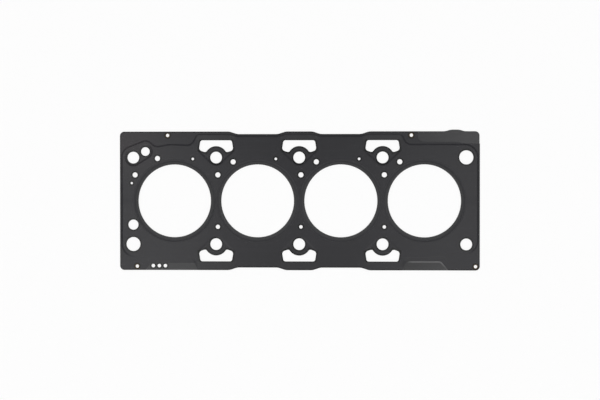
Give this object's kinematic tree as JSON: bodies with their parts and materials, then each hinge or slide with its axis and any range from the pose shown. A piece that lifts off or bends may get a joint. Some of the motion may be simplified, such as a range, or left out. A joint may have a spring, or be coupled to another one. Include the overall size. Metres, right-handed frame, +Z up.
{
  "type": "cylinder head gasket",
  "caption": "Flat layered steel head gasket for an in-line engine: dark coated sheets with beads round the cylinder bores, bolt holes, slots and fluid holes.",
  "frame": {"origin": "centre of the row of bores, on the plane that the gasket rests on", "axes": "+X along the row of bores towards the end with the edge tab, +Y across it towards the edge with the tab, +Z up out of the upper sheet"},
  "size_m": [0.415, 0.1619, 0.0014],
  "materials": {
    "coated_top": "semi-gloss dark grey elastomer coating on spring steel",
    "carrier_steel": "satin grey coated steel sheet",
    "coated_bottom": "semi-gloss dark grey elastomer coating on spring steel",
    "stopper_steel": "bare stainless shim",
    "rivet_brass": "dull yellow metal"
  },
  "bodies": {
    "root": {"upper_layer": "coated_top", "carrier_layer": "carrier_steel", "lower_layer": "coated_bottom", "stopper_ring_1": "stopper_steel", "stopper_ring_2": "stopper_steel", "stopper_ring_3": "stopper_steel", "stopper_ring_4": "stopper_steel", "rivet_1": "rivet_brass", "rivet_2": "rivet_brass", "rivet_3": "rivet_brass", "rivet_4": "rivet_brass"}
  },
  "joints": []
}
